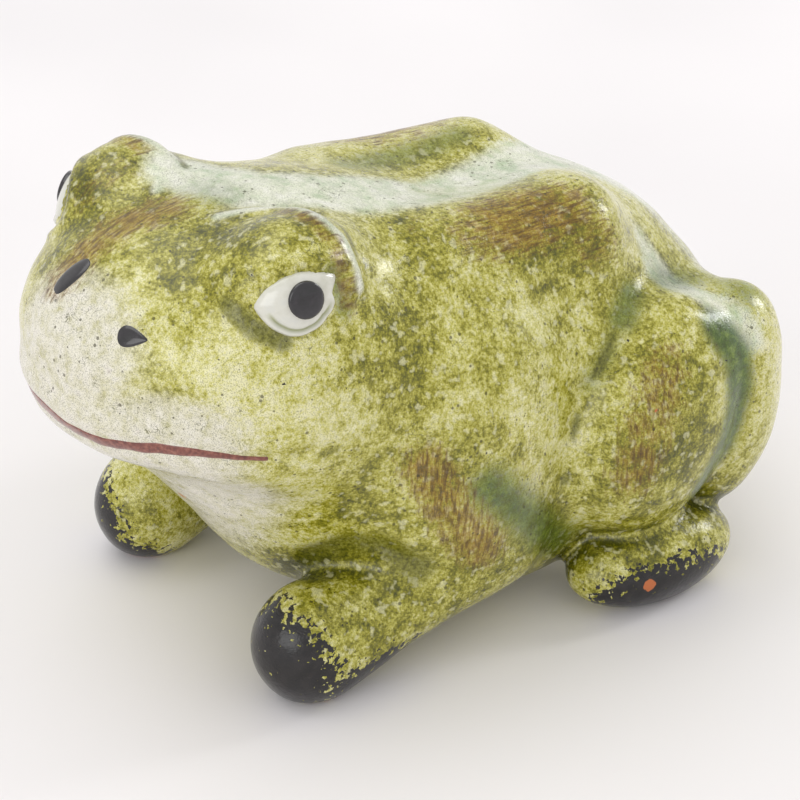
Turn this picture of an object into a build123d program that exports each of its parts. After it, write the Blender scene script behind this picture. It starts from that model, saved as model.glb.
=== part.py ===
"""Glazed earthenware frog ornament, standing on four feet.

Millimetres. The frog faces -Y, its left side is +X, +Z is up and the feet stand on z = 0.
The trunk and head are one hollow shell; the limbs, brows and foot pads are lumps of clay luted on
to it, and the eyes, pupils, nostrils and mouth are raised enamel on top.
"""

import os
from math import atan2, cos, degrees, radians, sin

from build123d import *

# ---------------------------------------------------------------- driving dimensions
body_length = 141.0      # snout to rump
snout_y = -body_length / 2   # front of the snout
trunk_width = 70.0       # across the trunk
back_height = 89.0       # floor to the top of the head and back
wall = 5.0               # clay wall of the hollow body
head_yaw = 11.0          # the head looks a little to its left
head_pivot_share = 0.20  # the yaw turns the face about a line this share of the length back

brow_share = 0.64        # brow centre, as a share of the trunk's half width
brow_along = 0.245       # brow centre along the body
brow_up = 0.921          # brow centre height, as a share of the back height
brow_radii = (12.0, 14.5, 11.5)
eye_out = 0.66 * brow_radii[0]      # eye centre outwards of the brow centre
eye_ahead = 0.55 * brow_radii[1]    # eye centre ahead of the brow centre
eye_slant = 45           # the eyes look this many degrees to the side
eye_radii = (7.4, 3.4, 5.2)      # along the lids, through the head, up
pupil_radius = 3.3
pupil_depth = 1.0        # half the thickness of the pupil's lens
pupil_back = 1.3         # the pupil sits behind the middle of the white
pupil_raise = 0.6        # and above it
nostril_radii = (1.9, 1.4, 2.4)
nostril_along, nostril_up = 0.056, 0.899
nostril_share = 0.26     # nostril from the middle of the head, as a share of the half width
mouth_line_height = 1.3  # width of the painted mouth line
mouth_front = 0.70       # height of the mouth at the snout, as a share of the back height
mouth_drop = 0.085       # how much lower its corners are, as a share of the back height
mouth_reach = 0.205      # how far back it runs, as a share of the length
enamel_depth = 0.5       # how far raised enamel stands off the clay

# Limb centres: shares of the body length and of the back height.
arm_along, arm_up = 0.488, 0.420
thigh_along, thigh_up = 0.784, 0.420
shank_along, shank_up = 0.910, 0.401
hind_foot_along = 0.777
arm_radii = (11.9, 17.0, 25.5)   # pad of the upper arm
left_arm_inset = 6.5     # limb centre inside the trunk's widest line
right_arm_inset = 2.7    # the right forefoot is set a little wider than the left
forefoot_half_width = 10.6
thigh_radii = (12.8, 0.145 * body_length, 0.267 * back_height)
shank_radii = (11.0, 0.084 * body_length, 0.267 * back_height)
hind_foot_radii = (11.0, 0.133 * body_length, 9.6)
thigh_lean, thigh_splay = -28, 8     # degrees about X, and outwards about Z
shank_lean = -8
hind_foot_sink = 0.81    # height of the hind foot's middle, as a share of its radius
hind_leg_inset = 1.0     # thigh centre inside the trunk's widest line
shank_inset = 1.6        # the shank tucks in behind the thigh by this much
hind_foot_outset = 1.6   # the hind foot stands out from under the thigh by this much

belly_hole_radius = 11.0   # opening the mould core and slip leave by
belly_hole_share = 0.57    # the opening's centre along the body
vent_radius = 1.7          # pin hole that lets the kiln gases out

# Body stations: share of the length, half width, lowest, widest, ridge and spine heights as
# shares of the trunk's half width and of the back height.
STATIONS = [
    (0.000, 0.16, 0.730, 0.765, 0.800, 0.805),
    (0.036, 0.53, 0.622, 0.760, 0.880, 0.900),
    (0.093, 0.77, 0.553, 0.755, 0.915, 0.950),
    (0.170, 0.94, 0.470, 0.745, 0.935, 0.985),
    (0.255, 0.98, 0.235, 0.690, 0.935, 1.000),
    (0.355, 0.99, 0.105, 0.580, 0.920, 0.990),
    (0.461, 0.97, 0.070, 0.500, 0.905, 0.950),
    (0.567, 0.97, 0.070, 0.410, 0.890, 0.905),
    (0.681, 1.00, 0.070, 0.420, 0.885, 0.880),
    (0.766, 0.97, 0.098, 0.450, 0.860, 0.870),
    (0.837, 0.87, 0.135, 0.450, 0.790, 0.820),
    (0.908, 0.71, 0.210, 0.455, 0.715, 0.755),
    (0.965, 0.48, 0.305, 0.455, 0.615, 0.660),
    (1.000, 0.20, 0.400, 0.455, 0.520, 0.545),
]

os.makedirs("parts", exist_ok=True)


# ---------------------------------------------------------------- places on the body
def along(share):
    """How far along the frog a share of the body's length lies, from the snout."""
    return snout_y + share * body_length


def up(share):
    """Height of a share of the back height."""
    return share * back_height


half_width = trunk_width / 2
head_pivot_y = along(head_pivot_share)
brow_out = brow_share * half_width


# ---------------------------------------------------------------- helpers
def section_face(y, half, low, wide, ridge, spine):
    """One closed cross-section of the body in the plane at y, as a face."""
    right = [
        (0.68 * half, low + 0.27 * (wide - low)),
        (half, wide),
        (0.86 * half, wide + 0.56 * (ridge - wide)),
        (0.50 * half, ridge),
    ]
    left = [(-x, z) for x, z in reversed(right)]
    outline = [(0, low)] + right + [(0, spine)] + left
    with BuildSketch(Plane.XZ.offset(-y)) as sketch:
        with BuildLine():
            Spline(*outline, periodic=True)
        make_face()
    return sketch.sketch


def body_form(grow, first=0, last=None, end_shift=0.0):
    """The body lofted through the stations; grow widens it, end_shift moves the ends outwards."""
    rows = STATIONS[first:last]
    middle = len(STATIONS) // 2
    faces = []
    for row_index, row in enumerate(rows):
        share, half, low, wide, ridge, spine = row
        outward = -end_shift if row_index + first < middle - 1 else end_shift
        if middle - 1 <= row_index + first <= middle:
            outward = 0.0
        faces.append(
            section_face(
                along(share) + outward,
                half * half_width + grow,
                up(low) - grow,
                up(wide),
                up(ridge) + grow,
                up(spine) + grow,
            )
        )
    with BuildPart() as form:
        loft(faces)
    return form.part


def ellipsoid(centre, radii, turn=(0, 0, 0)):
    """An ellipsoid of the given radii, turned about its centre and moved there."""
    faces = []
    for latitude in (-83, -70, -52, -30, -10, 10, 30, 52, 70, 83):
        with BuildSketch(Plane.XY.offset(radii[2] * sin(radians(latitude)))) as sketch:
            Ellipse(radii[0] * cos(radians(latitude)), radii[1] * cos(radians(latitude)))
        faces.append(sketch.sketch)
    with BuildPart() as form:
        loft(faces)
    return Location(centre, turn) * form.part


def head_place(x, y, z):
    """A point of the face, turned with the head."""
    return Vector(x, y - head_pivot_y, z).rotate(Axis.Z, head_yaw) + Vector(0, head_pivot_y, 0)


def luted(form, *neighbours):
    """A lump of clay or enamel, cut back to the faces of what it sits on and to the floor."""
    with BuildPart() as lump:
        add(form)
        for neighbour in neighbours:
            add(neighbour, mode=Mode.SUBTRACT)
    return lump.part


floor_block = Location((0, 0, -back_height / 2)) * Box(400, 400, back_height)

# ---------------------------------------------------------------- body shell and belly plate
outer = body_form(0.0)
cavity = body_form(-wall, first=1, last=-1, end_shift=-wall)
belly_hole_y = along(belly_hole_share)
belly_core = Location((0, belly_hole_y, 0)) * Cylinder(belly_hole_radius, back_height / 2)

with BuildPart() as body_shell:
    add(outer)
    add(cavity, mode=Mode.SUBTRACT)
    add(belly_core, mode=Mode.SUBTRACT)
body_shell.part.label = "body_shell"

with BuildPart() as belly_plate:
    add(outer)
    add(cavity, mode=Mode.SUBTRACT)
    add(belly_core, mode=Mode.INTERSECT)
    with Locations((0, belly_hole_y, 0)):
        Cylinder(vent_radius, back_height, mode=Mode.SUBTRACT)
belly_plate.part.label = "belly_plate"


# ---------------------------------------------------------------- brows over the eyes
def brow_form(side):
    return ellipsoid(head_place(side * brow_out, along(brow_along), up(brow_up)), brow_radii, (0, 0, head_yaw))


left_brow_form = brow_form(1)
right_brow_form = brow_form(-1)
left_brow = luted(left_brow_form, outer)
left_brow.label = "left_brow"
right_brow = luted(right_brow_form, outer)
right_brow.label = "right_brow"


# ---------------------------------------------------------------- front limbs
def arm_form(x):
    return ellipsoid((x, along(arm_along), up(arm_up)), arm_radii)


def forefoot_form(x):
    """Forearm and foot in one, lofted from the elbow to the toes."""
    rows = [
        (0.592, 1.93, 0.40, 0.42),
        (0.550, 1.84, 0.80, 0.82),
        (0.443, 1.46, 0.93, 0.95),
        (0.344, 1.08, 0.97, 0.98),
        (0.259, 0.87, 1.00, 0.96),
        (0.199, 0.79, 0.76, 0.76),
        (0.172, 0.75, 0.36, 0.36),
    ]
    faces = []
    for length_share, height, width_share, height_share in rows:
        with BuildSketch(Plane.XZ.offset(-along(length_share))) as sketch:
            with Locations((x, height * forefoot_half_width)):
                Ellipse(forefoot_half_width * width_share, forefoot_half_width * height_share)
        faces.append(sketch.sketch)
    with BuildPart() as form:
        loft(faces)
    return form.part


left_arm_x = half_width - left_arm_inset
right_arm_x = right_arm_inset - half_width
left_arm_form = arm_form(left_arm_x)
right_arm_form = arm_form(right_arm_x)
left_upper_arm = luted(left_arm_form, outer)
left_upper_arm.label = "left_upper_arm"
right_upper_arm = luted(right_arm_form, outer)
right_upper_arm.label = "right_upper_arm"
left_forefoot = luted(forefoot_form(left_arm_x), left_arm_form, outer, floor_block)
left_forefoot.label = "left_forefoot"
right_forefoot = luted(forefoot_form(right_arm_x), right_arm_form, outer, floor_block)
right_forefoot.label = "right_forefoot"


# ---------------------------------------------------------------- hind limbs
hind_leg_x = half_width - hind_leg_inset


def thigh_form(side):
    centre = (side * hind_leg_x, along(thigh_along), up(thigh_up))
    return ellipsoid(centre, thigh_radii, (thigh_lean, 0, side * thigh_splay))


def shank_form(side):
    centre = (side * (hind_leg_x - shank_inset), along(shank_along), up(shank_up))
    return ellipsoid(centre, shank_radii, (shank_lean, 0, 0))


def hind_foot_form(side):
    out = side * (hind_leg_x + hind_foot_outset)
    return ellipsoid((out, along(hind_foot_along), hind_foot_sink * hind_foot_radii[2]), hind_foot_radii)


left_thigh_form = thigh_form(1)
right_thigh_form = thigh_form(-1)
left_shank_form = shank_form(1)
right_shank_form = shank_form(-1)
left_thigh = luted(left_thigh_form, outer)
left_thigh.label = "left_thigh"
right_thigh = luted(right_thigh_form, outer)
right_thigh.label = "right_thigh"
left_shank = luted(left_shank_form, outer, left_thigh_form)
left_shank.label = "left_shank"
right_shank = luted(right_shank_form, outer, right_thigh_form)
right_shank.label = "right_shank"
left_hind_foot = luted(hind_foot_form(1), outer, left_thigh_form, left_shank_form, floor_block)
left_hind_foot.label = "left_hind_foot"
right_hind_foot = luted(hind_foot_form(-1), outer, right_thigh_form, right_shank_form, floor_block)
right_hind_foot.label = "right_hind_foot"


# ---------------------------------------------------------------- raised enamel of the face
def eye_form(side, radii, out=0.0, back=0.0, raised=0.0):
    """A lens on the brow, moved out along the way the eye looks, back along the lids, or up."""
    slant = sin(radians(eye_slant))
    centre = head_place(
        side * (brow_out + eye_out + slant * (out + back)),
        along(brow_along) - eye_ahead + slant * (back - out),
        up(brow_up) + raised,
    )
    return ellipsoid(centre, radii, (0, 0, side * eye_slant + head_yaw))


def nostril_form(side):
    centre = head_place(side * nostril_share * half_width, along(nostril_along), up(nostril_up))
    return ellipsoid(centre, nostril_radii, (0, 0, head_yaw))


pupil_radii = (pupil_radius, pupil_depth, pupil_radius)
pupil_out = eye_radii[1] - 0.4 * pupil_depth
left_eye_form = eye_form(1, eye_radii)
right_eye_form = eye_form(-1, eye_radii)
left_pupil_form = eye_form(1, pupil_radii, pupil_out, pupil_back, pupil_raise)
right_pupil_form = eye_form(-1, pupil_radii, pupil_out, pupil_back, pupil_raise)
left_eye_white = luted(left_eye_form, left_brow_form, outer)
left_eye_white.label = "left_eye_white"
right_eye_white = luted(right_eye_form, right_brow_form, outer)
right_eye_white.label = "right_eye_white"
left_pupil = luted(left_pupil_form, left_eye_form, left_brow_form, outer)
left_pupil.label = "left_pupil"
right_pupil = luted(right_pupil_form, right_eye_form, right_brow_form, outer)
right_pupil.label = "right_pupil"
left_nostril = luted(nostril_form(1), outer)
left_nostril.label = "left_nostril"
right_nostril = luted(nostril_form(-1), outer)
right_nostril.label = "right_nostril"

# The mouth line follows the lips: a thin band of the body's skin, between two tilted planes.
thicker_skin = body_form(enamel_depth, last=7, end_shift=enamel_depth)
lip_tilt = -atan2(up(mouth_drop), body_length * mouth_reach)
lip_centre = (0, along(mouth_reach / 2), up(mouth_front - mouth_drop / 2))
lip_length = body_length * mouth_reach / cos(lip_tilt)
lip_plane = Location(lip_centre, (degrees(lip_tilt), 0, 0)) * Box(
    2 * trunk_width, lip_length, mouth_line_height
)
with BuildPart() as mouth_line:
    add(thicker_skin)
    add(lip_plane, mode=Mode.INTERSECT)
    add(outer, mode=Mode.SUBTRACT)
mouth_line.part.label = "mouth_line"

# ---------------------------------------------------------------- export
PARTS = [
    body_shell.part, belly_plate.part,
    left_brow, right_brow,
    left_upper_arm, right_upper_arm, left_forefoot, right_forefoot,
    left_thigh, right_thigh, left_shank, right_shank, left_hind_foot, right_hind_foot,
    left_eye_white, right_eye_white, left_pupil, right_pupil, left_nostril, right_nostril,
    mouth_line.part,
]
for piece in PARTS:
    export_step(piece, "parts/" + piece.label + ".step")
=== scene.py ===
"""Glazed earthenware frog: the skin of clay and glaze, the raised enamel, the studio and the camera.

The clay is sculpted as one smooth distance field in millimetres and meshed; paint is worked out from
the place of each vertex and finished in the materials.
"""

import math

import bpy
import numpy as np
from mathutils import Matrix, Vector, noise


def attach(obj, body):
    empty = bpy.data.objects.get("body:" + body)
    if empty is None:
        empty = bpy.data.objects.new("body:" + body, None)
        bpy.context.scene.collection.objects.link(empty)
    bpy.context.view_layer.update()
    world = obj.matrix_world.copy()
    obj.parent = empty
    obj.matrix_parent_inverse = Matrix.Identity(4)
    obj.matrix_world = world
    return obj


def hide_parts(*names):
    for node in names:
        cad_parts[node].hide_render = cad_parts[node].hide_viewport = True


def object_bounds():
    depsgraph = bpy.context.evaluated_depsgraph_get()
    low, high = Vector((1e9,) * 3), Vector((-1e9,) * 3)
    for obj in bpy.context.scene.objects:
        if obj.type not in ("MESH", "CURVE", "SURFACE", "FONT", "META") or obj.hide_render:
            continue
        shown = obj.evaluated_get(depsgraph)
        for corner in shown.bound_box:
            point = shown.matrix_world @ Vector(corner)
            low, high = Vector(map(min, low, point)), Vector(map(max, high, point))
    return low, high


# ---------------------------------------------------------------- sculpture
# The frog faces -Y, its left side is +X, +Z is up. Sculpting is in millimetres.
MM = 0.001
HEAD_YAW = 11.0
HEAD_PIVOT = (0.0, -42.5, 0.0)
LEFT_ARM_X = 26.8
RIGHT_ARM_X = 32.3


def turn(rx=0.0, ry=0.0, rz=0.0):
    """Rotation matrix from angles in degrees about X, then Y, then Z."""
    rx, ry, rz = np.radians([rx, ry, rz])
    about_x = np.array([[1, 0, 0], [0, np.cos(rx), -np.sin(rx)], [0, np.sin(rx), np.cos(rx)]])
    about_y = np.array([[np.cos(ry), 0, np.sin(ry)], [0, 1, 0], [-np.sin(ry), 0, np.cos(ry)]])
    about_z = np.array([[np.cos(rz), -np.sin(rz), 0], [np.sin(rz), np.cos(rz), 0], [0, 0, 1]])
    return about_z @ about_y @ about_x


def ellipsoid(p, centre, radii, angles=None):
    """Distance to an ellipsoid, near enough close to its surface."""
    q = p - np.asarray(centre, p.dtype)
    if angles is not None:
        q = q @ turn(*angles).astype(p.dtype)
    radii = np.asarray(radii, p.dtype)
    near = np.linalg.norm(q / radii, axis=-1)
    steepness = np.linalg.norm(q / (radii * radii), axis=-1)
    return near * (near - 1) / np.maximum(steepness, 1e-9)


def limb(p, start, end, start_radius, end_radius):
    """Distance to a round limb that changes thickness from start to end."""
    start, end = np.asarray(start, p.dtype), np.asarray(end, p.dtype)
    axis = end - start
    t = np.clip(((p - start) @ axis) / (axis @ axis), 0, 1)
    radius = start_radius + (end_radius - start_radius) * t
    return np.linalg.norm(p - start - t[..., None] * axis, axis=-1) - radius


def merge(a, b, blend):
    """Union of two forms with a smooth fillet."""
    overlap = np.maximum(blend - np.abs(a - b), 0) / blend
    return np.minimum(a, b) - overlap * overlap * blend * 0.25


def carve(a, b, blend):
    """Intersection of two forms with a smooth edge."""
    return -merge(-a, -b, blend)


def mirrored(p):
    """Places folded onto the frog's left, so that one form serves both sides."""
    q = p.copy()
    q[..., 0] = np.abs(q[..., 0])
    return q


def to_head(p):
    """Places in the head's own frame, which is yawed to the frog's left."""
    pivot = np.asarray(HEAD_PIVOT, p.dtype)
    return (p - pivot) @ turn(rz=HEAD_YAW).astype(p.dtype) + pivot


def from_head(points):
    """The way back from the head's frame to the frog's."""
    pivot = np.asarray(HEAD_PIVOT)
    return (np.asarray(points, float) - pivot) @ turn(rz=HEAD_YAW).T + pivot


def trunk_form(p):
    """Body, belly, chest and nape, with a ridge along each side of the back."""
    trunk = ellipsoid(p, (0, 25, 44.2), (35.7, 45.5, 34.9), (-4, 0, 0))
    belly = ellipsoid(p, (0, 13.6, 28.9), (32.3, 39.1, 22.1))
    flank = ellipsoid(p, (21, 15, 20), (12.5, 26, 16))
    chest = ellipsoid(p, (0, -14, 41), (31.5, 28, 34))
    neck = limb(p, (18, -32, 62), (19, 4, 56), 16, 17)
    nape = ellipsoid(p, (0, -13.6, 57.8), (34, 30.6, 28))
    ridge = limb(p, (18.2, -3, 75.2), (16.6, 31, 71.6), 7.0, 9.8)
    form = merge(trunk, belly, 10)
    form = merge(form, flank, 8)
    form = merge(form, chest, 12)
    form = merge(form, nape, 12)
    form = merge(form, neck, 8)
    return merge(form, ridge, 10)


def head_form(h, side):
    """Head in its own frame; h has both sides folded onto +X, side is the true sign of x."""
    skull = ellipsoid(h, (0, -37.0, 68), (33.2, 31.0, 21.0), (6, 0, 0))
    jaw = ellipsoid(h, (0, -39.6, 54.8), (31.0, 29.0, 13.0), (-9, 0, 0))
    throat = ellipsoid(h, (0, -27, 47), (24, 22, 17))
    form = merge(skull, jaw, 5)
    form = merge(form, throat, 10)
    near = ellipsoid(h, (23.0, -37.0, 83.6), (9.6, 12.2, 9.2))
    far = ellipsoid(h, (21.4, -35.4, 83.6), (8.6, 10.8, 9.0))
    brow = np.where(side > 0, near, far)
    return merge(form, brow, 9)


def front_limb_form(p, side):
    """Upper arm, and forearm with foot; the right arm stands wider than the left."""
    shift = np.where(side > 0, LEFT_ARM_X, RIGHT_ARM_X).astype(p.dtype)
    q = p.copy()
    q[..., 0] = p[..., 0] - shift
    upper = ellipsoid(q, (1.7, -1.7, 37.4), (11.9, 17, 25.5))
    fore = limb(q, (1.5, 5.1, 20.4), (0, -22.1, 12.3), 9.4, 9.8)
    foot = ellipsoid(q, (-0.3, -32.6, 10.4), (10.2, 11.8, 12.0))
    return upper, merge(fore, foot, 5)


def hind_limb_form(p):
    """Thigh, folded shank and foot of a squatting leg."""
    thigh = ellipsoid(p, (34, 40, 37.4), (12.4, 20.4, 23.8), (-28, 0, 8))
    shank = ellipsoid(p, (32.3, 57.8, 34.9), (11, 11.9, 23.2), (-8, 0, 0))
    foot = ellipsoid(p, (35.7, 39.1, 7.65), (10.8, 18.7, 9.35))
    return thigh, shank, foot


# The saddle of clay that fills the notch between rump and shank.
SADDLE_INNER, SADDLE_OUTER = (14, 56, 47), (31, 56, 47)
SADDLE_RADII = (10.5, 9.0)


def frog_form(place):
    """Distance field of the whole clay body, standing on z = 0."""
    place = np.asarray(place)
    side = place[..., 0]
    p = mirrored(place)
    head_place = to_head(place)
    form = merge(trunk_form(p), head_form(mirrored(head_place), head_place[..., 0]), 12)
    upper, fore = front_limb_form(p, side)
    form = merge(form, upper, 10)
    form = merge(form, fore, 3.4)
    thigh, shank, foot = hind_limb_form(p)
    form = merge(form, merge(thigh, shank, 1.6), 6.5)
    form = merge(form, limb(p, SADDLE_INNER, SADDLE_OUTER, *SADDLE_RADII), 7)
    form = merge(form, foot, 2.6)
    return carve(form, -place[..., 2], 1.3)


# ---------------------------------------------------------------- meshing the field
def sample_field(form, low, high, step):
    """The form's distances on a grid, worked out a slab at a time to save memory."""
    counts = np.ceil((np.array(high) - low) / step).astype(int) + 1
    axes = [low[i] + step * np.arange(counts[i]) for i in range(3)]
    field = np.empty(counts, np.float32)
    slab = 16
    for first in range(0, counts[0], slab):
        block = np.meshgrid(axes[0][first:first + slab], axes[1], axes[2], indexing="ij")
        field[first:first + slab] = form(np.stack(block, -1).astype(np.float32))
    return field


def surface_nets(field, low, step):
    """Quads of the zero level: one vertex in each cell that the surface crosses."""
    inside = field < 0
    corners = [(a, b, c) for a in (0, 1) for b in (0, 1) for c in (0, 1)]
    nx, ny, nz = (n - 1 for n in field.shape)
    count = sum(inside[a:a + nx, b:b + ny, c:c + nz].astype(np.int8) for a, b, c in corners)
    active = (count > 0) & (count < 8)
    cells = np.argwhere(active)
    number = np.full(active.shape, -1, np.int64)
    number[active] = np.arange(len(cells))
    total = np.zeros((len(cells), 3))
    hits = np.zeros(len(cells))
    for i, near in enumerate(corners):
        for far in corners[i + 1:]:
            if np.abs(np.subtract(near, far)).sum() != 1:
                continue
            a = field[tuple((cells + near).T)]
            b = field[tuple((cells + far).T)]
            crossed = (a < 0) != (b < 0)
            t = np.where(crossed, a / np.where(crossed, a - b, 1), 0)
            step_along = np.array(near) + t[:, None] * (np.array(far) - np.array(near))
            total[crossed] += step_along[crossed]
            hits[crossed] += 1
    points = np.asarray(low) + step * (cells + total / hits[:, None])
    quads = []
    for axis in range(3):
        u, v = [i for i in range(3) if i != axis]
        here = np.moveaxis(inside, axis, 0)
        edges = np.argwhere(np.moveaxis(here[:-1] != here[1:], 0, axis))
        limit = np.array(field.shape) - 1
        keep = (edges[:, u] > 0) & (edges[:, v] > 0) & (edges[:, u] < limit[u]) & (edges[:, v] < limit[v])
        edges = edges[keep]
        leaving = inside[tuple(edges.T)]

        def cell(du, dv):
            k = edges.copy()
            k[:, u] += du
            k[:, v] += dv
            return number[tuple(k.T)]

        ring = np.stack([cell(-1, -1), cell(0, -1), cell(0, 0), cell(-1, 0)], 1)
        flip = leaving if axis != 1 else ~leaving
        quads.append(np.where(flip[:, None], ring, ring[:, ::-1]))
    return points, np.concatenate(quads)


def slope(form, points, reach=0.05):
    """Outward unit normals of the field."""
    steps = np.eye(3) * reach
    rise = np.stack([form(points + s) - form(points - s) for s in steps], -1)
    return rise / np.maximum(np.linalg.norm(rise, axis=-1, keepdims=True), 1e-9)


def settle(form, points, rounds=2):
    """Moves points onto the zero level."""
    for _ in range(rounds):
        points = points - slope(form, points) * form(points)[..., None] * 0.9
    return points


# ---------------------------------------------------------------- the face
# Places on the face are in the head's own frame, for the frog's left; a side of -1 mirrors them.
EYE_CENTRE = (31.0, -42.6, 82.6)
EYE_ALONG = (0.42, 0.91, 0.0)
EYE_LONG, EYE_TALL = 7.5, 4.9
PUPIL_SHIFT = (0.8, 0.8)
PUPIL_RADIUS = 3.15
MOUTH_AXIS_Y = -40.0
# Height of the mouth by degrees round the face, to the frog's left from straight ahead.
MOUTH = [
    (-90, 55), (-70, 55), (-40, 56.8), (-18, 57.2), (-8, 56.8), (0, 56.2),
    (16, 56.4), (37, 57.8), (50, 57.5), (70, 55.7), (90, 55.4),
]
MOUTH_END = 71.0
# Runs of places that a relief and its paint both follow: ridges and creases in the clay.
BROW_CREST = [
    (8, -39, 88.5), (11, -35, 89.5), (15, -30.5, 91), (22, -32, 92.5), (27, -32, 91.5), (31, -31, 87), (33, -31, 82),
]
BROW_FOOT = [(12, -29, 89), (20, -26, 89), (28, -27, 88), (33, -27.5, 84)]
THIGH_CREASE = [(33, 30, 58), (35.5, 26, 55), (36.5, 22, 51), (37, 19, 46), (37.5, 17, 40), (38, 16, 32)]
ELBOW_FOLD = [(22, -31, 24), (28, -26, 28.5), (32, -21, 28.5), (36, -16, 24)]

# A patch of enamel is a disc of rings and spokes, sunk into the clay to this depth.
PATCH_RINGS, PATCH_SPOKES = 14, 72
PATCH_ROOT = 0.8
# A point slides to the clay in damped steps, no longer than these inwards and outwards.
SLIDE_SHARE, SLIDE_OUT, SLIDE_IN = 0.8, -1.0, 2.0


def unit(v):
    """The same direction, one long."""
    v = np.asarray(v, float)
    return v / np.linalg.norm(v, axis=-1, keepdims=True)


def patch_frame(centre, along, side):
    """Centre, along, up and outward directions of a patch of enamel on the head, in the frog's frame."""
    flip = np.array([side, 1, 1])
    centre = from_head(np.asarray(centre) * flip)
    along = unit(np.asarray(along) * flip @ turn(rz=HEAD_YAW).T)
    out = slope(frog_form, centre[None])[0]
    out = unit(out - along * (out @ along))
    return centre, along, unit(np.cross(along, out)) * side * -1, out


def drop_on(points, out, reach=9.0, steps=48):
    """Slides points inwards along out, from reach beyond them, until they meet the clay."""
    p = points + out * reach
    for _ in range(steps):
        p = p - out * np.clip(frog_form(p), SLIDE_OUT, SLIDE_IN)[:, None] * SLIDE_SHARE
    return p


# The eye's outline, anticlockwise from the notch behind it, in units of its half length.
EYE_OUTLINE = [
    (0.84, 0.10), (0.98, 0.44), (0.62, 0.58), (0.25, 0.66), (-0.12, 0.65), (-0.50, 0.53), (-0.82, 0.30),
    (-1.00, 0.02), (-0.86, -0.26), (-0.56, -0.56), (-0.16, -0.72), (0.18, -0.68), (0.62, -0.44), (0.90, -0.16),
]


# Each outline below gives its points at the angles asked for, in units of the patch's scale.
def almond(angle):
    """The eye's outline, as a closed curve through its points."""
    corners = np.array(EYE_OUTLINE)
    bearing = np.arctan2(corners[:, 1], corners[:, 0])
    reach = np.linalg.norm(corners, axis=1)
    order = np.argsort(bearing)
    radius = np.interp(angle, bearing[order], reach[order], period=2 * np.pi)
    return radius[:, None] * np.stack([np.cos(angle), np.sin(angle)], -1)


def round_outline(angle):
    """The pupil."""
    return np.stack([np.cos(angle), np.sin(angle)], -1)


def teardrop(angle):
    """The left nostril: blunt towards the mouth and pointed towards the eye."""
    c, s = np.cos(angle), np.sin(angle)
    return np.stack([c, s * (0.62 - 0.36 * c)], -1)


def capsule(angle):
    """The right nostril: a long dab with blunt ends."""
    c, s = np.cos(angle), np.sin(angle)
    return np.stack([c, 0.50 * np.sign(s) * np.abs(s) ** 0.7], -1)


def ring_shares():
    """How far out each of a patch's rings lies, from 0 at the middle to 1 at its outline."""
    return np.linspace(0, 1, PATCH_RINGS + 1)[1:]


def disc_shares():
    """The same for each vertex of a patch's upper side."""
    return np.concatenate([[0.0], np.repeat(ring_shares(), PATCH_SPOKES)])


def enamel_patch(name, centre, along, side, outline, scale, height, shift=(0, 0)):
    """A lens of enamel on the clay; its rim and underside are sunk into it.

    Returns the object and the flat places of the vertices of its upper side.
    """
    centre, u, v, out = patch_frame(centre, along, side)
    angle = np.linspace(-np.pi, np.pi, PATCH_SPOKES, endpoint=False)
    edge = outline(angle) * scale
    rings = (ring_shares()[:, None, None] * edge).reshape(-1, 2)
    flat = np.concatenate([np.zeros((1, 2)), rings]) + shift
    base = drop_on(centre + flat[:, :1] * u + flat[:, 1:] * v, out)
    top = base + out * height(disc_shares(), flat)[:, None]
    under = base - out * PATCH_ROOT

    def index(ring, spoke):
        return 1 + ring * PATCH_SPOKES + spoke % PATCH_SPOKES

    faces = []
    wall = []
    for spoke in range(PATCH_SPOKES):
        faces.append((0, index(0, spoke), index(0, spoke + 1)))
        for ring in range(PATCH_RINGS - 1):
            a, b = index(ring, spoke), index(ring, spoke + 1)
            faces.append((a, a + PATCH_SPOKES, b + PATCH_SPOKES, b))
        a, b = index(PATCH_RINGS - 1, spoke), index(PATCH_RINGS - 1, spoke + 1)
        wall.append((a, len(top) + a, len(top) + b, b))
    return closed_shell(name, top, under, faces, wall, facing=out), flat


def closed_shell(name, top, under, faces, wall, facing=None):
    """A solid sheet: faces over the top points, the same reversed over the under ones, and the wall between."""
    below = [tuple(len(top) + i for i in reversed(face)) for face in faces]
    return build_mesh(name, np.concatenate([top, under]), faces + below + wall, facing)


def build_mesh(name, points, faces, facing=None):
    """A mesh object from millimetres, its faces turned outwards."""
    mesh = bpy.data.meshes.new(name)
    mesh.from_pydata((np.asarray(points) * MM).tolist(), [], [tuple(f) for f in faces])
    mesh.validate()
    mesh.update()
    obj = bpy.data.objects.new(name, mesh)
    bpy.context.scene.collection.objects.link(obj)
    for polygon in mesh.polygons:
        polygon.use_smooth = True
    if facing is not None and np.dot(mesh.polygons[0].normal, facing) < 0:
        mesh.flip_normals()
    return obj


def store(obj, name, values):
    """Keeps one value per vertex, for the material to read by name."""
    layer = obj.data.attributes.new(name, "FLOAT", "POINT")
    layer.data.foreach_set("value", np.asarray(values, np.float32))


# ---------------------------------------------------------------- unevenness and paint by place
def noise_at(points, wavelength, seed=0.0):
    """Smooth unevenness of about this wavelength; each seed reads another part of it."""
    shift = Vector((seed, seed * 1.7, -seed))
    return np.array([noise.noise(Vector(p) / wavelength + shift) for p in points])


def step_between(value, low, high):
    """0 below low, 1 above high, and an easy curve between."""
    t = np.clip((value - low) / (high - low), 0, 1)
    return t * t * (3 - 2 * t)


def spot(points, centre, radii, soft=0.5):
    """1 inside an ellipsoid and 0 outside it, over a soft edge."""
    q = (points - np.asarray(centre, float)) / np.asarray(radii, float)
    return 1 - step_between(np.linalg.norm(q, axis=-1), 1 - soft, 1 + soft)


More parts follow.
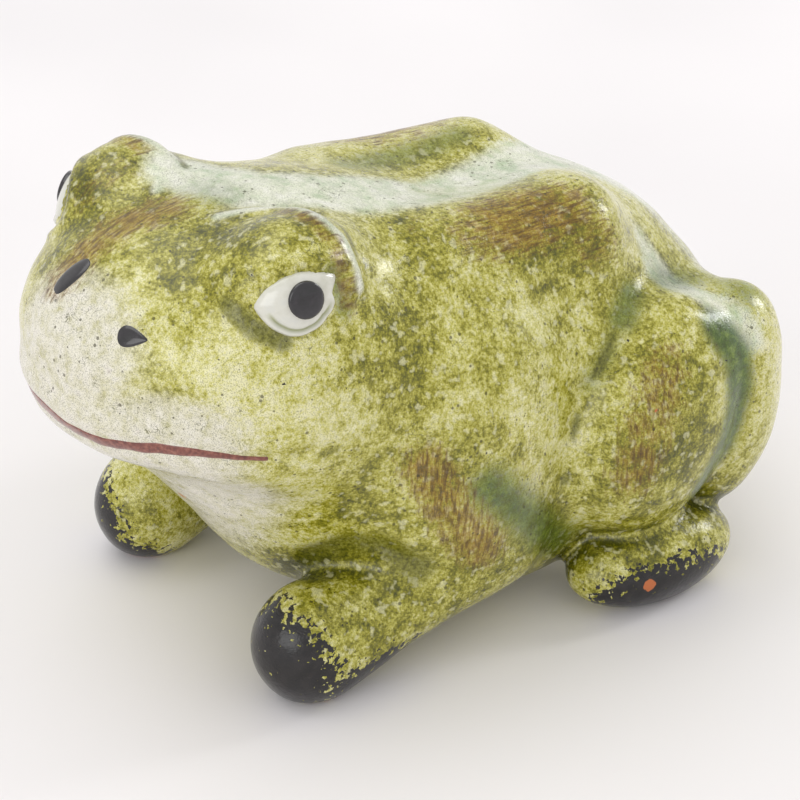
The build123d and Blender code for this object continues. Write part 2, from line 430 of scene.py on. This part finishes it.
def stroke(points, path, width, soft=0.5):
    """1 along a path of places and 0 away from it."""
    path = np.asarray(path, float)
    best = np.full(len(points), 1e9)
    for start, end in zip(path[:-1], path[1:]):
        best = np.minimum(best, limb(points, start, end, 0.0, 0.0))
    return 1 - step_between(best / width, 1 - soft, 1 + soft)


def strongest(*masks):
    return np.maximum.reduce(masks)


def mouth_height(round_face):
    """Height of the mouth line at these degrees round the face."""
    degrees, heights = zip(*MOUTH)
    return np.interp(round_face, degrees, heights)


def mouth_gap(h):
    """Height above the mouth line, and degrees round the face to either side."""
    round_face = np.degrees(np.arctan2(h[:, 0], -(h[:, 1] - MOUTH_AXIS_Y)))
    return h[:, 2] - mouth_height(round_face), np.abs(round_face)


def eye_radius(points, side):
    """Distance from an eye's middle in units of its outline, depth off its plane, and height in those units."""
    centre, u, v, out = patch_frame(EYE_CENTRE, EYE_ALONG, side)
    q = points - centre
    a, b = q @ u / EYE_LONG, q @ v / EYE_TALL
    return np.hypot(a, b), q @ out, b


def uneven(points, normals):
    """Hand-modelled surface: soft lumps, the lips' groove and the pockets round the eyes."""
    lumps = 0.42 * noise_at(points, 17.0, 3.1) + 0.16 * noise_at(points, 6.0, 8.4)
    h = to_head(points)
    gap, round_face = mouth_gap(h)
    on_face = 1 - step_between(round_face, 78, 96)
    lips = -0.6 * np.exp(-((gap / 1.5) ** 2)) * on_face
    lips += 0.35 * np.exp(-(((gap - 4.0) / 2.2) ** 2)) * on_face
    pockets = np.zeros(len(points))
    for side in (1, -1):
        rho, depth, high = eye_radius(points, side)
        near = np.exp(-((depth / 7) ** 4))
        pockets += near * (-0.55 * np.exp(-(((rho - 1.10) / 0.10) ** 2)))
        pockets += near * 0.55 * np.exp(-(((rho - 1.45) / 0.22) ** 2)) * step_between(high, -0.4, 0.6)
        pockets += near * 0.35 * np.exp(-(((rho - 1.38) / 0.15) ** 2)) * step_between(-high, -0.2, 0.7)
    mh = mirrored(h)
    crest = 0.75 * stroke(mh, BROW_CREST, 1.9, 0.9) - 0.5 * stroke(mh, BROW_FOOT, 1.8, 0.9)
    folds = -0.7 * stroke(mirrored(points), THIGH_CREASE, 1.6, 0.9)
    folds -= 0.6 * stroke(points, ELBOW_FOLD, 1.8, 0.9)
    above_floor = step_between(points[:, 2], 0.8, 5.0)
    return points + normals * ((lumps + lips + pockets + crest + folds) * above_floor)[:, None]


def paint(points, normals):
    """What the brush left where, with painted light and shade in the light and dark masks and a painted sheen in the
    pale one: each mask is 0 to 1 by vertex.

    h and m are the places in the head's frame and folded onto the left; mh is both.
    """
    h = to_head(points)
    m = mirrored(points)
    mh = mirrored(h)
    wander = noise_at(points, 9.0, 21.0)
    gap, round_face = mouth_gap(h)
    lips = step_between(gap, -14, -7) * (1 - step_between(gap, 5, 17)) * (1 - step_between(round_face, 50, 86))
    snout = spot(h, (-2, -66, 72), (17, 12, 14), 0.6)
    throat = spot(h, (4, -52, 45), (29, 22, 20), 0.5) * (1 - step_between(h[:, 0], 24, 38))
    chest = spot(m, (6, -44, 32), (15, 16, 14), 0.6)
    # Upward-facing surfaces: the pale run along the spine is kept to them, so it is partly cream slip and partly a
    # painted sheen on the top of the back.
    top = step_between(normals[:, 2], 0.45, 0.85)
    spine = stroke(
        points,
        [
            (-12, -33, 90), (2, -27, 90), (7, -12, 87), (7, 8, 80),
            (3, 26, 79), (-3, 42, 75), (3, 56, 67), (14, 63, 54),
        ],
        8.0,
        0.55,
    )
    saddle = stroke(points, [(19, 44, 66), (27, 47, 60), (36, 52, 58), (40, 56, 52)], 4.5, 0.6)
    rump = spot(m, (18, 66, 52), (14, 12, 14), 0.5)
    cream = strongest(0.9 * lips, snout, 0.9 * throat, 0.7 * chest)
    # The pale line along each brow's crest is a painted highlight.
    crest = stroke(mh, BROW_CREST, 1.5, 0.8)
    pale = strongest(0.95 * spine * top, 0.8 * saddle, 0.5 * rump, 0.85 * crest)
    # Painted light and shade, mixed with the sponging's own lighter and darker tone: light lifts the green where
    # light falls on the cheeks, snout, chest, flank, back and rear of the thigh; dark lowers it where shade falls
    # under the forearm, thigh and belly, round the eyes and down the side of the neck and shoulder.
    light = strongest(
        spot(mh, (30, -50, 66), (15, 16, 14), 0.8),
        0.45 * spot(m, (40, 6, 52), (14, 24, 18), 0.8),
        spot(m, (38, 64, 48), (14, 12, 22), 0.7),
        0.8 * spot(m, (22, -42, 36), (16, 12, 15), 0.8),
        0.8 * spot(m, (10, 46, 76), (16, 16, 10), 0.7),
        0.5 * spot(h, (10, -60, 76), (14, 10, 10), 0.8),
        0.9 * spot(points, (-20, 10, 83), (8, 28, 9), 0.8),
    )
    dark = strongest(
        0.55 * stroke(m, [(34, -21, 72), (37, -20, 60), (39, -14, 50), (40, -10, 40)], 7.0, 0.8),
        0.5 * spot(points, (33, -18, 22), (13, 16, 10), 0.7),
        0.5 * spot(m, (46, 36, 15), (13, 20, 9), 0.7),
        0.8 * spot(mh, (16, -46, 87), (14, 11, 9), 0.8),
        0.6 * spot(mh, (27, -46, 85), (11, 9, 8), 0.8),
        0.5 * spot(m, (46, 32, 40), (10, 16, 18), 0.8),
        0.4 * spot(m, (38, 4, 22), (12, 22, 12), 0.8),
        0.4 * spot(m, (34, -24, 34), (10, 10, 10), 0.8),
        0.6 * spot(points, (28, 28, 78), (9, 14, 8), 0.8),
    )
    brown_back = strongest(
        spot(m, (23, 17, 81), (10, 19, 8), 0.7),
        0.7 * spot(m, (27, 30, 74), (8, 9, 8), 0.7),
        0.45 * spot(points, (-21, 18, 82), (5, 20, 4), 0.7),
        0.5 * spot(m, (22, -2, 84), (9, 10, 6), 0.7),
    )
    brown_face = strongest(
        0.95 * stroke(h, [(-2, -42, 88), (-7, -50, 86), (-9, -60, 80)], 6.0, 0.9),
        0.6 * stroke(h, [(-16, -40, 93), (-19, -48, 88)], 4.5, 0.8),
        0.8 * stroke(mh, [(18, -34, 92), (26, -34, 92.5), (32, -34, 88), (35, -34, 80)], 2.6, 0.8),
    )
    brown_side = strongest(
        0.95 * stroke(m, [(38, -16, 47), (40, -11, 36), (40, -4, 26)], 6.0, 0.8),
        0.8 * stroke(m, [(44, 34, 54), (46, 30, 44), (45, 27, 34)], 7.0, 0.8),
        0.4 * spot(m, (36, 4, 44), (8, 14, 20), 0.6),
    )
    teal = strongest(
        0.5 * spot(h, (1, -34, 89), (8, 7, 6), 0.9),
        0.6 * stroke(points, [(-8, -2, 84), (-10, 12, 81), (-12, 27, 80)], 4.0, 0.9),
        0.3 * stroke(points, [(10, 4, 84), (12, 27, 80)], 3.5, 0.9),
        0.85 * stroke(m, [(41, -4, 40), (41, 3, 33), (39, 10, 25), (36, 18, 16)], 5.0, 0.95),
        0.7 * stroke(m, [(27, 46, 60), (25, 58, 53), (34, 60, 56)], 5.0, 0.9),
        0.7 * stroke(m, [(33, 32, 60), (30, 36, 62)], 3.5, 0.9),
        1.0 * stroke(m, [(40, 49, 56), (42, 52, 50), (43, 52, 42), (43, 49, 31), (42, 45, 25)], 4.2, 0.8),
        0.45 * stroke(m, THIGH_CREASE[:3], 3.0, 0.9),
        0.9 * stroke(mh, [(34, -36, 87), (36, -35, 80)], 2.6, 0.8),
    )
    # Glaze pools in the hollows and breaks pale over the edges.
    hollow = np.clip(1 - frog_form(points + normals * 4) / 4, 0, 1)
    edge = np.clip(1 + frog_form(points - normals * 5) / 5, 0, 1)
    olive = strongest(
        0.9 * stroke(mh, [(23, -52, 83), (28, -50, 79), (32, -47, 77)], 1.9, 0.7),
        0.85 * stroke(points, ELBOW_FOLD, 3.6, 0.8),
        0.95 * stroke(m, THIGH_CREASE, 0.9, 0.9) * step_between(wander, -0.5, 0.1),
        0.8 * stroke(mh, BROW_FOOT, 1.0, 0.7),
        0.7 * stroke(h, [(35, -42, 54.5), (39, -36, 55.5), (41, -30, 57)], 0.8, 0.5),
    )
    toe = strongest(
        spot(points, (28, -43, 8), (13, 12.5, 13.5), 0.5),
        0.9 * spot(points, (38, -22, 2), (9, 18, 8), 0.5),
        spot(points, (-36, -44, 7), (10, 9, 12), 0.5),
        spot(points, (-31, -44, 1), (14, 11, 7), 0.5),
        spot(m, (48, 33, 3), (10, 22, 9), 0.5),
    )
    dark_spot = spot(mh, (34.5, -35.5, 87.0), (1.7, 2.0, 1.6), 0.6)
    chips = strongest(
        stroke(points, [(2.5, -45.5, 34), (5.5, -45.5, 32)], 0.7, 0.4),
        spot(points, (46, 31, 8), (3, 1.3, 1.3), 0.4),
        spot(points, (46, 31, 46), (1.5, 0.7, 0.7), 0.4),
    )
    bare = step_between(-normals[:, 2], 0.80, 0.95) * (1 - step_between(points[:, 2] + 0.2 * wander, 0.2, 0.5))
    return {
        "cream": cream,
        "pale": pale,
        "light": light,
        "dark": dark,
        "brown_back": brown_back,
        "brown_face": brown_face,
        "brown_side": brown_side,
        "teal": teal,
        "hollow": hollow,
        "edge": edge,
        "olive": olive,
        "toe": toe,
        "dark_spot": dark_spot,
        "chips": strongest(chips, bare),
    }


# ---------------------------------------------------------------- materials
def srgb(red, green, blue):
    """Display colour, 0 to 255, as a linear RGBA."""
    def linear(c):
        c /= 255
        return c / 12.92 if c <= 0.04045 else ((c + 0.055) / 1.055) ** 2.4
    return (linear(red), linear(green), linear(blue), 1.0)


class Shader:
    """Small helpers round one material's node tree."""

    def __init__(self, name):
        self.material = bpy.data.materials.new(name)
        self.material.use_nodes = True
        self.tree = self.material.node_tree
        self.tree.nodes.clear()
        self.out = self.tree.nodes.new("ShaderNodeOutputMaterial")
        self.place = self.tree.nodes.new("ShaderNodeTexCoord").outputs["Object"]

    def add(self, kind, settings=None, **inputs):
        node = self.tree.nodes.new(kind)
        for key, value in (settings or {}).items():
            setattr(node, key, value)
        for key, value in inputs.items():
            socket = node.inputs[int(key[1:])] if key[0] == "_" else node.inputs[key.replace("_", " ")]
            if isinstance(value, bpy.types.NodeSocket):
                self.tree.links.new(value, socket)
            else:
                socket.default_value = value
        return node

    def attribute(self, name):
        return self.add("ShaderNodeAttribute", {"attribute_name": name}).outputs["Fac"]

    def stretched(self, scale, turn_by):
        """Places drawn out into streaks, as a brush leaves them."""
        node = self.add("ShaderNodeMapping", None, Vector=self.place, Scale=scale, Rotation=turn_by)
        return node.outputs["Vector"]

    def noise(self, per_metre, detail=4.0, rough=0.55, where=None):
        node = self.add("ShaderNodeTexNoise", None, Vector=where or self.place, Scale=per_metre,
                        Detail=detail, Roughness=rough, Distortion=0.0)
        return node.outputs["Fac"]

    def math(self, operation, a, b=0.0):
        return self.add("ShaderNodeMath", {"operation": operation}, _0=a, _1=b).outputs[0]

    def plus(self, a, b):
        return self.math("ADD", a, b)

    def minus(self, a, b):
        return self.math("SUBTRACT", a, b)

    def times(self, a, b):
        return self.math("MULTIPLY", a, b)

    def ramp(self, value, low, high):
        """0 below low, 1 above high, and an easy curve between."""
        node = self.add("ShaderNodeMapRange", {"interpolation_type": "SMOOTHSTEP"}, Value=value)
        node.inputs["From Min"].default_value = low
        node.inputs["From Max"].default_value = high
        return node.outputs["Result"]

    def colours(self, value, stops):
        """A run of colours, each at its place from 0 to 1."""
        node = self.add("ShaderNodeValToRGB", None, Fac=value)
        elements = node.color_ramp.elements
        while len(elements) < len(stops):
            elements.new(0.5)
        for element, (position, colour) in zip(elements, stops):
            element.position = position
            element.color = colour
        return node.outputs["Color"]

    def mix(self, factor, a, b):
        node = self.add("ShaderNodeMix", {"data_type": "RGBA"}, _0=factor, _6=a, _7=b)
        return node.outputs[2]

    def worn(self, mask, grain, low, high, strength=1.0):
        """A painted area whose edge is broken up by a grain."""
        value = self.plus(mask, self.times(self.minus(grain, 0.5), strength))
        return self.ramp(value, low, high)

    def finish(self, colour, roughness, bump=None, distance=0.0002, coat=0.5, strength=1.0):
        """Glazed surface; bump is a height whose full range is distance metres."""
        shell = self.add("ShaderNodeBsdfPrincipled", None, Base_Color=colour, Roughness=roughness,
                         Coat_Weight=coat, Coat_Roughness=0.08)
        shell.inputs["IOR"].default_value = 1.5
        if bump is not None:
            node = self.add("ShaderNodeBump", None, Height=bump, Strength=strength, Distance=distance)
            self.tree.links.new(node.outputs["Normal"], shell.inputs["Normal"])
        self.tree.links.new(shell.outputs[0], self.out.inputs["Surface"])
        return self.material


def frog_glaze():
    """Sponged green over cream slip, brushed brown and teal, black toes, pits and chips, with painted light and
    shade in the green and a painted sheen along the back.
    """
    s = Shader("painted_glaze")
    # Sponged green, from broad clouds down to single specks.
    broad = s.noise(95, 3, 0.5)
    sponge = s.noise(330, 5, 0.62)
    grain = s.noise(1500, 3, 0.6)
    speck = s.noise(3400, 2, 0.5)
    tone = s.plus(s.times(broad, 0.45), s.times(sponge, 0.55))
    tone = s.plus(tone, s.times(s.minus(grain, 0.5), 0.55))
    tone = s.plus(tone, s.times(s.minus(speck, 0.5), 0.18))
    tone = s.plus(tone, s.times(s.attribute("edge"), 0.12))
    # Painted light and shade: the light and dark masks lift and lower the green's tone where light falls and where
    # shade falls, on top of the sponging's own variation.
    tone = s.plus(tone, s.times(s.attribute("light"), 0.14))
    tone = s.minus(tone, s.times(s.attribute("dark"), 0.12))
    tone = s.minus(tone, s.times(s.attribute("hollow"), 0.25))
    colour = s.colours(tone, [
        (0.26, srgb(72, 74, 2)), (0.36, srgb(112, 110, 6)), (0.44, srgb(150, 145, 34)),
        (0.52, srgb(188, 183, 84)), (0.60, srgb(212, 208, 134)), (0.72, srgb(230, 226, 180)),
    ])
    blot = s.ramp(s.noise(620, 2, 0.4), 0.57, 0.70)
    colour = s.mix(s.times(blot, 0.6), colour, srgb(226, 223, 176))
    # Bare slip on the snout and throat, and the pale run along the spine: cream slip with a painted sheen where the
    # back faces up, and a painted highlight along each brow's crest.
    sponge_edge = s.plus(s.times(sponge, 0.6), s.times(grain, 0.4))
    cream_tone = s.colours(s.noise(420, 5, 0.65), [
        (0.30, srgb(196, 192, 150)), (0.45, srgb(222, 218, 196)), (0.6, srgb(232, 228, 214)),
        (0.75, srgb(214, 206, 196)),
    ])
    colour = s.mix(s.worn(s.attribute("cream"), sponge_edge, 0.22, 0.95, 1.1), colour, cream_tone)
    pale_tone = s.colours(s.noise(260, 4, 0.6), [
        (0.3, srgb(184, 202, 170)), (0.5, srgb(224, 228, 208)), (0.7, srgb(242, 242, 232)),
    ])
    pale = s.worn(s.attribute("pale"), sponge_edge, 0.22, 0.95, 1.1)
    colour = s.mix(s.times(pale, 0.9), colour, pale_tone)
    # Teal, deepest where it pools, and olive in the creases.
    teal_tone = s.colours(s.noise(500, 4, 0.65), [
        (0.3, srgb(16, 50, 8)), (0.5, srgb(46, 84, 20)), (0.68, srgb(106, 130, 50)),
    ])
    teal = s.times(s.worn(s.attribute("teal"), sponge_edge, 0.15, 1.0, 0.9), 0.9)
    colour = s.mix(teal, colour, teal_tone)
    pool = s.ramp(s.times(s.attribute("hollow"), s.attribute("teal")), 0.25, 0.65)
    colour = s.mix(s.times(pool, 0.85), colour, srgb(30, 62, 20))
    olive = s.times(s.worn(s.attribute("olive"), sponge_edge, 0.2, 0.9, 1.0), 0.8)
    colour = s.mix(olive, colour, s.colours(grain, [(0.35, srgb(64, 66, 8)), (0.65, srgb(118, 118, 34))]))
    # Brown brushwork; the streaks run along the body, along the face and up the sides.
    brush = {
        "brown_back": s.stretched((1700, 330, 1700), (0, 0, 0.35)),
        "brown_face": s.stretched((1500, 210, 800), (0.5, 0, 0.2)),
        "brown_side": s.stretched((1500, 1700, 330), (0.35, 0, 0)),
    }
    bristle_ridges = None
    for name, where in brush.items():
        bristle = s.noise(1.0, 3, 0.6, where)
        brushed = s.plus(s.times(bristle, 0.6), s.times(sponge, 0.4))
        streaks = s.worn(s.attribute(name), brushed, 0.42, 1.12, 2.6)
        brown = s.colours(bristle, [(0.36, srgb(170, 134, 36)), (0.5, srgb(136, 98, 6)), (0.64, srgb(84, 48, 0))])
        colour = s.mix(s.times(streaks, 0.85), colour, brown)
        lines = s.times(bristle, s.attribute(name))
        bristle_ridges = lines if bristle_ridges is None else s.plus(bristle_ridges, lines)
    # Grain in the glaze, crazing and pinholes.
    fine = s.noise(5200, 2, 0.5)
    shaded = s.mix(0.6, colour, srgb(50, 50, 4))
    colour = s.mix(s.times(s.ramp(fine, 0.46, 0.66), 0.75), colour, shaded)
    worm = s.math("ABSOLUTE", s.minus(s.noise(800, 1, 0.4), 0.5))
    worm = s.times(s.math("LESS_THAN", worm, 0.014), s.ramp(s.noise(170, 2, 0.5), 0.56, 0.62))
    colour = s.mix(s.times(worm, 0.6), colour, srgb(70, 72, 18))
    pits = s.add("ShaderNodeTexVoronoi", None, Vector=s.place, Scale=620.0, Randomness=1.0)
    pit_chance = s.add("ShaderNodeSeparateColor", None, Color=pits.outputs["Color"]).outputs[0]
    pit_size = s.times(pit_chance, 0.30)
    pit = s.math("LESS_THAN", pits.outputs["Distance"], s.minus(pit_size, 0.09))
    colour = s.mix(s.times(pit, 0.7), colour, srgb(52, 48, 10))
    # Blue-black dab on the brow, black toes with a speckled edge, and orange clay at the chips.
    colour = s.mix(s.worn(s.attribute("dark_spot"), grain, 0.5, 0.8, 1.2), colour, srgb(20, 24, 38))
    flecks = s.noise(760, 3, 0.6)
    toe = s.worn(s.attribute("toe"), flecks, 0.50, 0.56, 2.3)
    black = s.colours(s.noise(600, 3, 0.6), [(0.4, srgb(14, 11, 12)), (0.7, srgb(34, 30, 30))])
    colour = s.mix(toe, colour, black)
    chipped = s.ramp(s.attribute("chips"), 0.45, 0.6)
    colour = s.mix(chipped, colour, srgb(186, 104, 58))
    relief = s.plus(s.times(sponge, 1.0), s.times(grain, 0.35))
    relief = s.plus(relief, s.times(bristle_ridges, 0.5))
    relief = s.minus(relief, s.times(s.math("MAXIMUM", pit, worm), 0.5))
    shine = s.plus(0.10, s.times(sponge, 0.20))
    shine = s.plus(shine, s.times(chipped, 0.5))
    return s.finish(colour, shine, relief, 0.00035, coat=0.15, strength=0.5)


def plain_enamel(name, stops, per_metre, roughness, lid_colour=None):
    """Raised enamel of one colour with slight mottling, and a darker line along the eye's lower lid."""
    s = Shader(name)
    colour = s.colours(s.noise(per_metre, 4, 0.6), stops)
    if lid_colour:
        colour = s.mix(s.times(s.attribute("lid"), 0.85), colour, lid_colour)
    return s.finish(colour, roughness, s.noise(900, 3), 0.0001, coat=0.7, strength=0.4)


# ---------------------------------------------------------------- the frame and the pieces
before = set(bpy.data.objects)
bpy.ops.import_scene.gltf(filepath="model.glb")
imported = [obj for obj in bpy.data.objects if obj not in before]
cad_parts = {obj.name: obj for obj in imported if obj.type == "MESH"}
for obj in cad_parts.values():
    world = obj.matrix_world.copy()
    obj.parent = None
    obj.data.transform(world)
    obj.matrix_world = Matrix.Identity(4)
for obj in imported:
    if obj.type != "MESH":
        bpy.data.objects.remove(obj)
frame_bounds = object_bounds()

CLAY_NODES = ["body_shell", "belly_plate"] + [
    f"{side}_{name}"
    for side in ("left", "right")
    for name in ("brow", "upper_arm", "forefoot", "thigh", "shank", "hind_foot")
]

# The grid that the clay is meshed on, in millimetres, and the box that it fills.
GRID = 0.95
LOW, HIGH = (-50.0, -74.0, -3.0), (50.0, 74.0, 97.0)
SKIN_MARGIN = 0.02
clay_points, clay_faces = surface_nets(sample_field(frog_form, LOW, HIGH, GRID), LOW, GRID)
clay_points = settle(frog_form, clay_points)
clay_normals = slope(frog_form, clay_points)
masks = paint(clay_points, clay_normals)
skin_points = uneven(clay_points, clay_normals)
skin_points[:, 2] = np.maximum(skin_points[:, 2], 0.0)
limits = [np.array(corner) / MM for corner in frame_bounds]
skin_points = np.clip(skin_points, limits[0] + SKIN_MARGIN, limits[1] - SKIN_MARGIN)

skin = build_mesh("frog_skin", skin_points, clay_faces)
for mask_name, values in masks.items():
    store(skin, mask_name, values)
skin.data.materials.append(frog_glaze())
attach(skin, "root")
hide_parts(*CLAY_NODES)

white_glaze = plain_enamel(
    "eye_white_enamel",
    [(0.3, srgb(198, 197, 182)), (0.55, srgb(214, 213, 202)), (0.8, srgb(206, 207, 200))],
    300, 0.2, srgb(134, 140, 70),
)
black_glaze = plain_enamel(
    "black_enamel", [(0.35, srgb(14, 12, 15)), (0.6, srgb(30, 26, 31)), (0.8, srgb(48, 43, 48))], 900, 0.22
)
brown_glaze = plain_enamel(
    "brown_enamel", [(0.3, srgb(84, 30, 22)), (0.5, srgb(122, 60, 46)), (0.75, srgb(160, 104, 84))], 1400, 0.3
)


# Each height is above the clay, by rho, the share of the way out to the patch's outline.
LOWER_LID = 0.80


def eyeball_height(rho, flat):
    """Bulge of the eye: a crowned white with a thick lower lid set off by a groove."""
    low = step_between(-flat[:, 1] / EYE_TALL, 0.15, 0.55)
    groove = np.exp(-(((rho - LOWER_LID) / 0.055) ** 2)) * low
    crown = 1.15 * np.sqrt(np.clip(1 - rho**2.4, 0, 1))
    return crown - 0.25 - 0.38 * groove + 0.30 * low * (rho > LOWER_LID)


def dab_height(rho, flat):
    """A nostril: one thick dab of the brush."""
    return 0.42 * (1 - rho**4) - 0.08


def pupil_height(rho, flat):
    """The pupil: a low button on top of the white."""
    return 1.28 + 0.22 * np.sqrt(np.clip(1 - rho**4, 0, 1))


def add_piece(obj, node, material):
    """Gives a piece its material, hangs it on the root body and hides the part's node that it stands for."""
    obj.data.materials.append(material)
    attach(obj, "root")
    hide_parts(node)


for side, word in ((1, "left"), (-1, "right")):
    white, flat = enamel_patch(
        f"{word}_eye_enamel", EYE_CENTRE, EYE_ALONG, side, almond, (EYE_LONG, EYE_LONG), eyeball_height
    )
    lid = np.exp(-(((disc_shares() - LOWER_LID) / 0.05) ** 2))
    lid = lid * step_between(-flat[:, 1] / EYE_TALL, 0.05, 0.4)
    store(white, "lid", np.concatenate([lid, lid]))
    add_piece(white, f"{word}_eye_white", white_glaze)
    pupil, _ = enamel_patch(
        f"{word}_pupil_enamel", EYE_CENTRE, EYE_ALONG, side, round_outline,
        (PUPIL_RADIUS, PUPIL_RADIUS), pupil_height, shift=PUPIL_SHIFT,
    )
    add_piece(pupil, f"{word}_pupil", black_glaze)

left_nostril, _ = enamel_patch(
    "left_nostril_enamel", (11, -62, 76), (0.75, 0.60, -0.2), 1, teardrop, (3.0, 3.0), dab_height
)
add_piece(left_nostril, "left_nostril", black_glaze)
right_nostril, _ = enamel_patch(
    "right_nostril_enamel", (7.5, -60, 80), (-0.35, 0.55, 0.75), -1, capsule, (4.4, 4.4), dab_height
)
add_piece(right_nostril, "right_nostril", black_glaze)


MOUTH_STATIONS, MOUTH_LANES = 181, 7
MOUTH_HALF_WIDTH, MOUTH_TAPER = 1.25, 0.65
MOUTH_ROOT = 0.7
# The line is dropped onto the clay from inside the skull, pushed out by the reach.
MOUTH_INSIDE, MOUTH_REACH = 26, 14


def mouth_strip():
    """The painted line: a thin strip of enamel in the groove between the lips."""
    across = np.linspace(-1, 1, MOUTH_LANES)
    upright = np.array([0, 0, 1.0])
    starts, outs = [], []
    for t in np.radians(np.linspace(-MOUTH_END, MOUTH_END, MOUTH_STATIONS)):
        share = abs(np.degrees(t)) / MOUTH_END
        width = MOUTH_HALF_WIDTH * (1 - MOUTH_TAPER * share**3)
        width += 0.22 * noise.noise(Vector((t * 9, 0.3, 0)))
        middle = mouth_height(np.degrees(t))
        middle += 0.15 * noise.noise(Vector((t * 7, 5.3, 0)))
        out = np.array([np.sin(t), -np.cos(t), 0.0])
        start = np.array([0, MOUTH_AXIS_Y, middle]) + out * MOUTH_INSIDE
        starts.append(from_head(start + upright * (across * width)[:, None]))
        outs.append(np.repeat([out @ turn(rz=HEAD_YAW).T], MOUTH_LANES, 0))
    base = drop_on(np.concatenate(starts), np.concatenate(outs), reach=MOUTH_REACH, steps=60)
    normals = slope(frog_form, base)
    base = uneven(base, normals)
    crown = np.tile(0.36 - 0.42 * across**2, MOUTH_STATIONS)
    top = base + normals * crown[:, None]
    under = base - normals * MOUTH_ROOT
    grid = np.arange(len(top)).reshape(MOUTH_STATIONS, MOUTH_LANES)
    faces = []
    for row in range(MOUTH_STATIONS - 1):
        for lane in range(MOUTH_LANES - 1):
            a = row * MOUTH_LANES + lane
            faces.append((a, a + 1, a + MOUTH_LANES + 1, a + MOUTH_LANES))
    # The rim runs once round the strip: along one edge, across the end, back and across the start.
    rim = np.concatenate([grid[:, 0], grid[-1, 1:], grid[-2::-1, -1], grid[0, -2:0:-1]]).tolist()
    wall = [(a, b, len(top) + b, len(top) + a) for a, b in zip(rim, rim[1:] + rim[:1])]
    return closed_shell("mouth_enamel", top, under, faces, wall)


mouth = mouth_strip()
add_piece(mouth, "mouth_line", brown_glaze)

# ---------------------------------------------------------------- studio
STUDIO_CENTRE = Vector((0, 0.005, 0.0357))


def floor_material():
    s = Shader("pale_floor")
    colour = s.colours(s.noise(9, 2, 0.4), [(0.3, srgb(236, 233, 234)), (0.7, srgb(242, 239, 240))])
    return s.finish(colour, 0.6, coat=0.0)


FLOOR_REACH = 6.0
floor_mesh = bpy.data.meshes.new("floor")
floor_corners = [(x * FLOOR_REACH, y * FLOOR_REACH, 0) for x, y in ((-1, -1), (1, -1), (1, 1), (-1, 1))]
floor_mesh.from_pydata(floor_corners, [], [(0, 1, 2, 3)])
floor = bpy.data.objects.new("floor", floor_mesh)
bpy.context.scene.collection.objects.link(floor)
floor.data.materials.append(floor_material())


def soft_light(name, direction, distance, size, power):
    """A white panel of light that faces the frog; metres and watts."""
    data = bpy.data.lights.new(name, "AREA")
    data.shape = "RECTANGLE"
    data.size, data.size_y = size
    data.energy = power
    lamp = bpy.data.objects.new(name, data)
    bpy.context.scene.collection.objects.link(lamp)
    lamp.location = STUDIO_CENTRE + Vector(direction).normalized() * distance
    lamp.rotation_mode = "QUATERNION"
    lamp.rotation_quaternion = (STUDIO_CENTRE - lamp.location).to_track_quat("-Z", "Y")


soft_light("overhead", (-0.35, -0.2, 1.0), 0.9, (0.8, 0.6), 1.9)
soft_light("back_window", (0.20, 0.9, 0.42), 0.8, (0.12, 0.24), 1.2)
soft_light("front_fill", (0.4, -0.9, 0.40), 1.1, (0.8, 0.6), 2.6)

WORLD_COLOUR = (1.0, 0.995, 0.99, 1.0)
WORLD_STRENGTH = 0.83
world = bpy.data.worlds.new("studio")
bpy.context.scene.world = world
world.use_nodes = True
background = world.node_tree.nodes["Background"]
background.inputs["Color"].default_value = WORLD_COLOUR
background.inputs["Strength"].default_value = WORLD_STRENGTH

bpy.context.scene.view_settings.view_transform = "Standard"

CAMERA_AZIMUTH, CAMERA_ELEVATION = 55.0, 30.0
CAMERA_DISTANCE = 0.476
CAMERA_TARGET = Vector((0.0, 0.0051, 0.0357))
CAMERA_LENS, CAMERA_SENSOR = 111.6, 36.0
azimuth, elevation = math.radians(CAMERA_AZIMUTH), math.radians(CAMERA_ELEVATION)
towards_camera = Vector((
    math.sin(azimuth) * math.cos(elevation),
    -math.cos(azimuth) * math.cos(elevation),
    math.sin(elevation),
))
camera_data = bpy.data.cameras.new("camera")
camera_data.sensor_width = CAMERA_SENSOR
camera_data.lens = CAMERA_LENS
camera_data.clip_start = 0.01
camera = bpy.data.objects.new("camera", camera_data)
bpy.context.scene.collection.objects.link(camera)
camera.location = CAMERA_TARGET + towards_camera * CAMERA_DISTANCE
camera.rotation_mode = "QUATERNION"
camera.rotation_quaternion = (-towards_camera).to_track_quat("-Z", "Y")
bpy.context.scene.camera = camera
